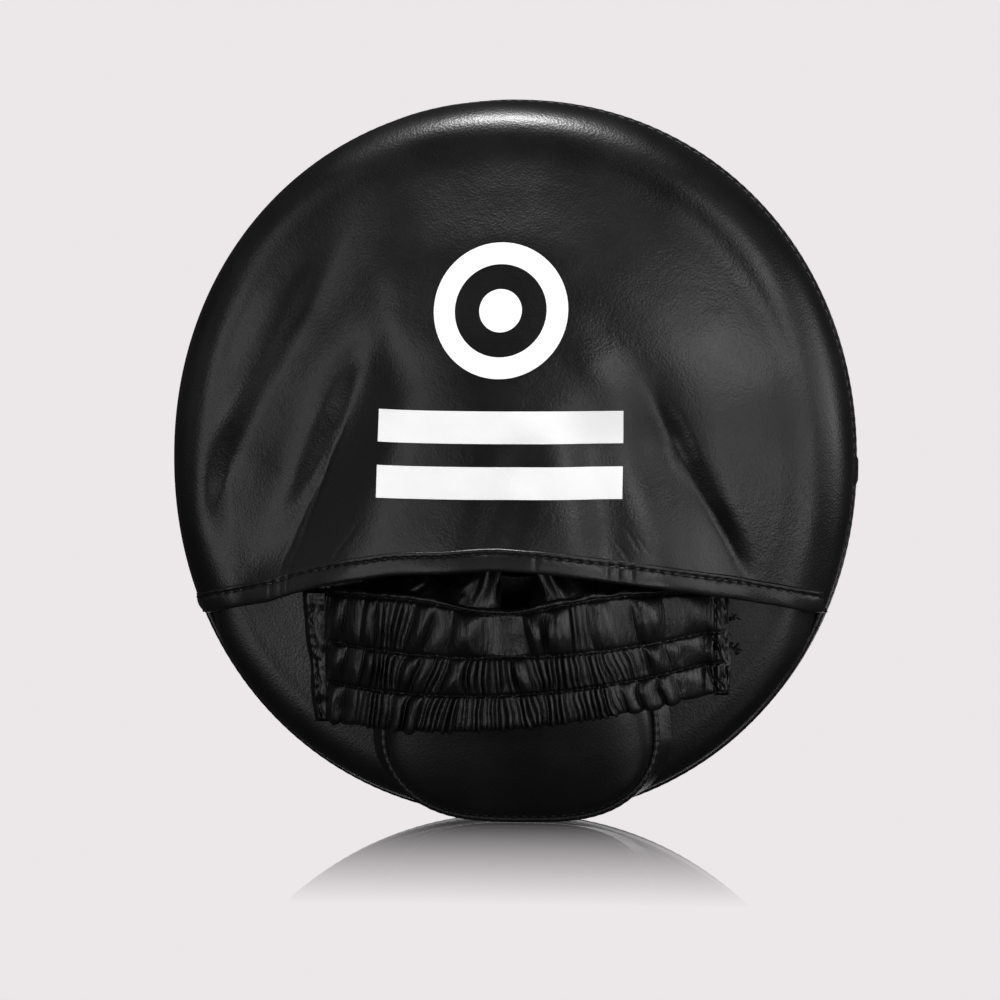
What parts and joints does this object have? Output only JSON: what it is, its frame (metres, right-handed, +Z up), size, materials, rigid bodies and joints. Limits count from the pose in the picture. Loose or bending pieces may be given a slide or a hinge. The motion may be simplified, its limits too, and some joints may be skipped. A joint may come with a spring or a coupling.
{
  "type": "boxing focus mitt",
  "caption": "Round padded boxing focus mitt with a leather hand hood, gathered elastic hand strap, palm cushion and heel pad on its back.",
  "frame": {"origin": "the palm point: the crown of the rear panel at the centre of the round pad, where the palm of the hand bears", "axes": "+Z up towards the fingertips as a trainer holds the mitt upright, +Y out of the target face, the hand is on the -Y side"},
  "size_m": [0.2104, 0.0851, 0.2232],
  "materials": {
    "black_leather": "satin",
    "edge_leather": "satin",
    "target_leather": "satin",
    "soft_leather": "satin",
    "binding_leather": "satin",
    "piping_leather": "satin",
    "lining_fabric": "matte",
    "elastic_tape": "matte",
    "core_foam": "matte",
    "shock_foam": "matte",
    "backing_board": "matte"
  },
  "bodies": {
    "pad": {"rear_panel": "black_leather", "edge_band": "edge_leather", "target_ring_panel": "target_leather", "target_centre_panel": "target_leather", "rear_piping": "piping_leather", "front_piping": "piping_leather", "backing_board": "backing_board", "core_foam": "core_foam", "shock_foam": "shock_foam", "palm_cushion_cover": "soft_leather", "palm_cushion_foam": "core_foam", "heel_pad_wall": "soft_leather", "heel_pad_piping": "piping_leather", "heel_pad_cover": "soft_leather", "heel_pad_foam": "core_foam", "strap_tab_left": "soft_leather", "strap_tab_right": "soft_leather", "inner_cuff_left": "soft_leather", "inner_cuff_right": "soft_leather"},
    "hood": {"hood": "black_leather", "knuckle_padding": "core_foam", "pocket_lining": "lining_fabric", "hood_hem_binding": "binding_leather"},
    "strap": {"strap_cover": "soft_leather", "elastic_upper": "elastic_tape", "elastic_middle": "elastic_tape", "elastic_lower": "elastic_tape", "strap_lining": "lining_fabric"}
  },
  "joints": [
    {"name": "strap_stretch", "type": "slide", "parent": "pad", "child": "strap", "axis": [0, -1, 0], "range_m": [0, 0.012], "stiffness_N_per_m": 600},
    {"name": "hood_lift", "type": "hinge", "parent": "pad", "child": "hood", "pos_m": [0, 0.0159, 0.1115], "axis": [-1, 0, 0], "range_deg": [0, 6], "stiffness_Nm_per_rad": 3}
  ]
}
